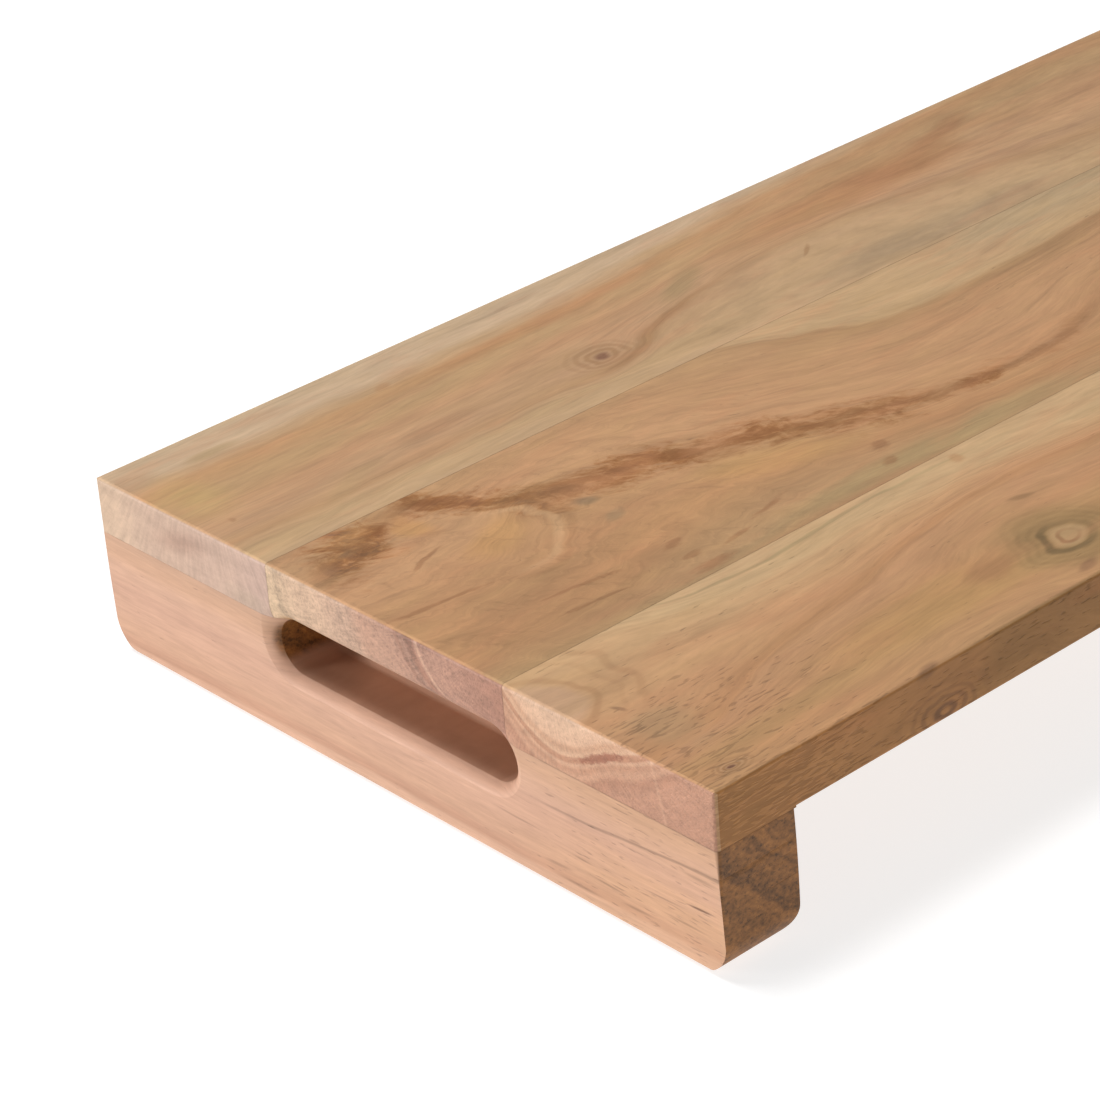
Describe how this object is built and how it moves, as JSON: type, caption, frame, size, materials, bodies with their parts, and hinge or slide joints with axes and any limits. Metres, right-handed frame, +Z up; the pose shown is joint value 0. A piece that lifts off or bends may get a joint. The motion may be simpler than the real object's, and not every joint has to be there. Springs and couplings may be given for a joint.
{
  "type": "footed serving board",
  "caption": "Flat wooden serving tray: edge-glued staves on cross-grain end rails that lift it as feet, each rail with a blind finger slot in its outer face.",
  "frame": {"origin": "centre of the tray's footprint, on the surface that it stands on", "axes": "+X along the board's length, +Y across it towards the back stave, +Z up"},
  "size_m": [0.508, 0.203, 0.046],
  "materials": {
    "front_stave_wood": "oiled hardwood, mid brown with a pale sapwood edge",
    "middle_stave_wood": "oiled hardwood, curly mid brown with a dark mineral streak",
    "back_stave_wood": "oiled hardwood, pale sapwood bands and brown heart",
    "rail_wood": "oiled hardwood, pinkish, grain across the board",
    "dowel_wood": "plain pale hardwood rod"
  },
  "bodies": {
    "root": {"front_stave": "front_stave_wood", "middle_stave": "middle_stave_wood", "back_stave": "back_stave_wood", "left_rail": "rail_wood", "right_rail": "rail_wood", "left_front_dowel": "dowel_wood", "left_back_dowel": "dowel_wood", "right_front_dowel": "dowel_wood", "right_back_dowel": "dowel_wood"}
  },
  "joints": []
}
